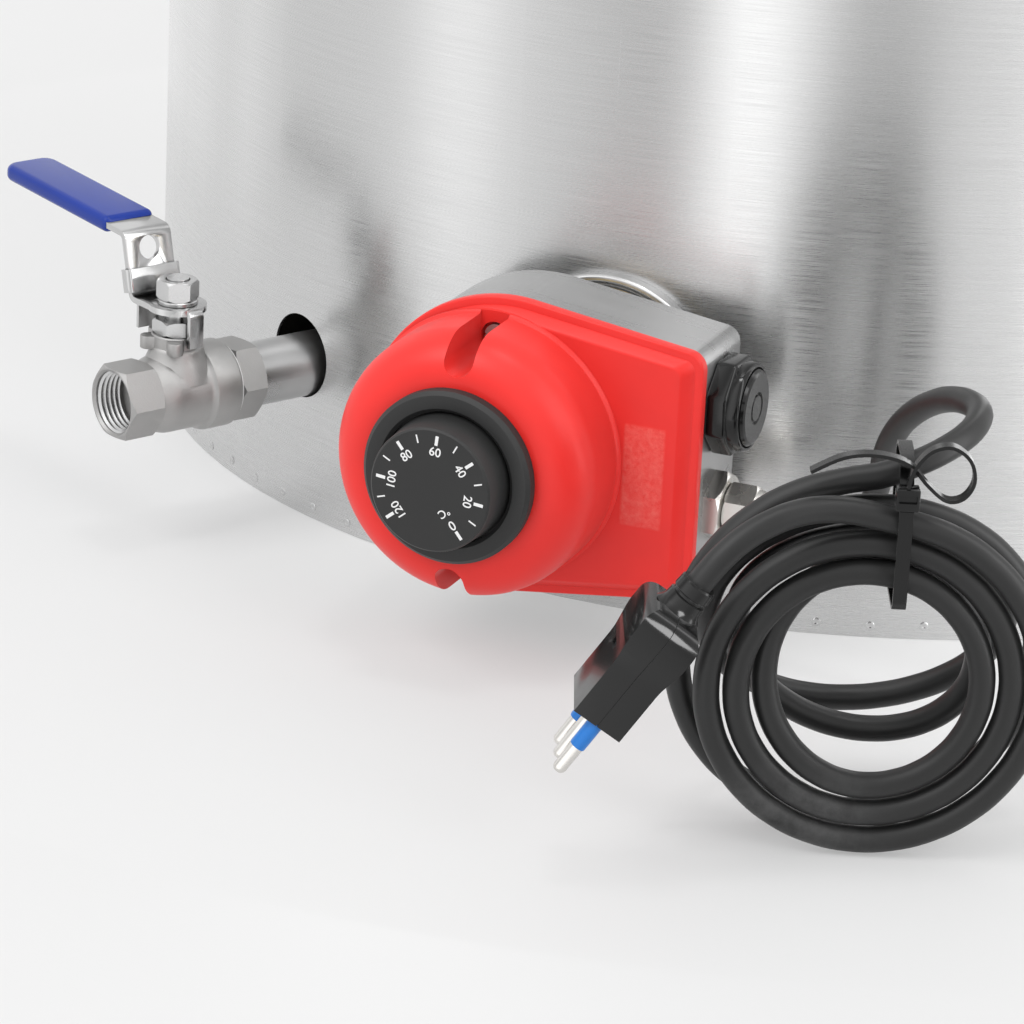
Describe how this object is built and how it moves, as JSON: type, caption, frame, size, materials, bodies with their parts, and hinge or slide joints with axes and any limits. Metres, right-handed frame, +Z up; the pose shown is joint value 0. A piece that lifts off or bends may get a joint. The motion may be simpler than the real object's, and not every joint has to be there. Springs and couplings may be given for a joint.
{
  "type": "wax sterilizer",
  "caption": "Round insulated stainless tank with lid, ball valve outlet and an immersion heater with thermostat dial under a cover, its mains lead tied in a coil.",
  "frame": {"origin": "centre of the base's underside, on the floor on the tank's axis", "axes": "+Z up along the tank's axis, -Y towards the heater, +X to the right when facing the heater"},
  "size_m": [0.588, 0.7024, 0.6107],
  "materials": {
    "stainless": "satin, fine brushed grain",
    "vessel_steel": "machined or rolled",
    "wool": "mineral wool",
    "cast_steel": "bead blasted casting",
    "lever_steel": "pressed sheet",
    "ptfe": "white seal",
    "blue_vinyl": "dipped vinyl",
    "red_cover": "semi-matte moulding",
    "dial_plastic": "dark grey moulding",
    "black_plastic": "glossy moulding",
    "rubber": "matte, slightly dusty",
    "tie_nylon": "black nylon",
    "nickel": "nickel plate",
    "brass": "turned",
    "element_sheath": "dull sheath",
    "copper": "drawn tube",
    "phenolic": "moulded",
    "ceramic": "glazed"
  },
  "bodies": {
    "tank": {"outer_casing": "stainless", "base_pan": "stainless", "inner_vessel": "vessel_steel", "insulation_wrap": "wool", "insulation_floor": "wool", "top_rim": "stainless", "side_handles": "stainless", "handle_rivets": "stainless", "outlet_pipe": "vessel_steel", "valve_body": "cast_steel", "valve_cap": "cast_steel", "cap_gasket": "ptfe", "valve_seats": "ptfe", "stem_packing": "ptfe", "packing_nut": "lever_steel", "heater_socket": "vessel_steel", "socket_collar": "vessel_steel", "heater_gasket": "rubber", "heater_plug": "brass", "heating_elements": "element_sheath", "thermowell": "vessel_steel", "thermostat_bulb": "copper", "heater_box": "stainless", "box_screws": "vessel_steel", "heater_cover": "red_cover", "cover_screws": "vessel_steel", "cover_pillars": "vessel_steel", "dial_bezel": "dial_plastic", "thermostat": "phenolic", "safety_thermostat": "phenolic", "reset_nut": "black_plastic", "terminal_block": "ceramic", "earth_screw": "brass", "gland_body": "nickel", "gland_locknut": "nickel", "gland_seal": "rubber", "gland_nut": "nickel", "cord_lead": "rubber", "cord_coil": "rubber", "cord_tail": "rubber", "zip_tie": "tie_nylon", "plug_body": "black_plastic", "plug_collar": "rubber", "plug_pins": "nickel", "pin_sleeves": "blue_vinyl"},
    "lid": {"lid": "stainless", "lid_knob": "black_plastic", "lid_knob_screw": "vessel_steel"},
    "dial": {"dial_knob": "dial_plastic", "thermostat_shaft": "vessel_steel"},
    "lever": {"valve_lever": "lever_steel", "lever_sleeve": "blue_vinyl", "lever_washer": "lever_steel", "lever_nut": "lever_steel", "valve_stem": "vessel_steel", "valve_ball": "vessel_steel"},
    "lock": {"lever_lock": "lever_steel"},
    "reset": {"reset_button": "black_plastic"}
  },
  "joints": [
    {"name": "lid_lift", "type": "slide", "parent": "tank", "child": "lid", "axis": [0, 0, 1], "range_m": [0, 0.2]},
    {"name": "dial_turn", "type": "hinge", "parent": "tank", "child": "dial", "pos_m": [-0.0175, -0.344, 0.065], "axis": [0, -1, 0], "range_deg": [-129, 141]},
    {"name": "lever_turn", "type": "hinge", "parent": "tank", "child": "lever", "pos_m": [-0.14223, -0.26414, 0.0515], "axis": [0, 0, 1], "range_deg": [0, 90]},
    {"name": "lock_slide", "type": "slide", "parent": "lever", "child": "lock", "axis": [-0.213, 0.1147, 0.9703], "range_m": [0, 0.004]},
    {"name": "reset_press", "type": "slide", "parent": "tank", "child": "reset", "axis": [-1, 0, 0], "range_m": [0, 0.0015], "stiffness_N_per_m": 400}
  ]
}
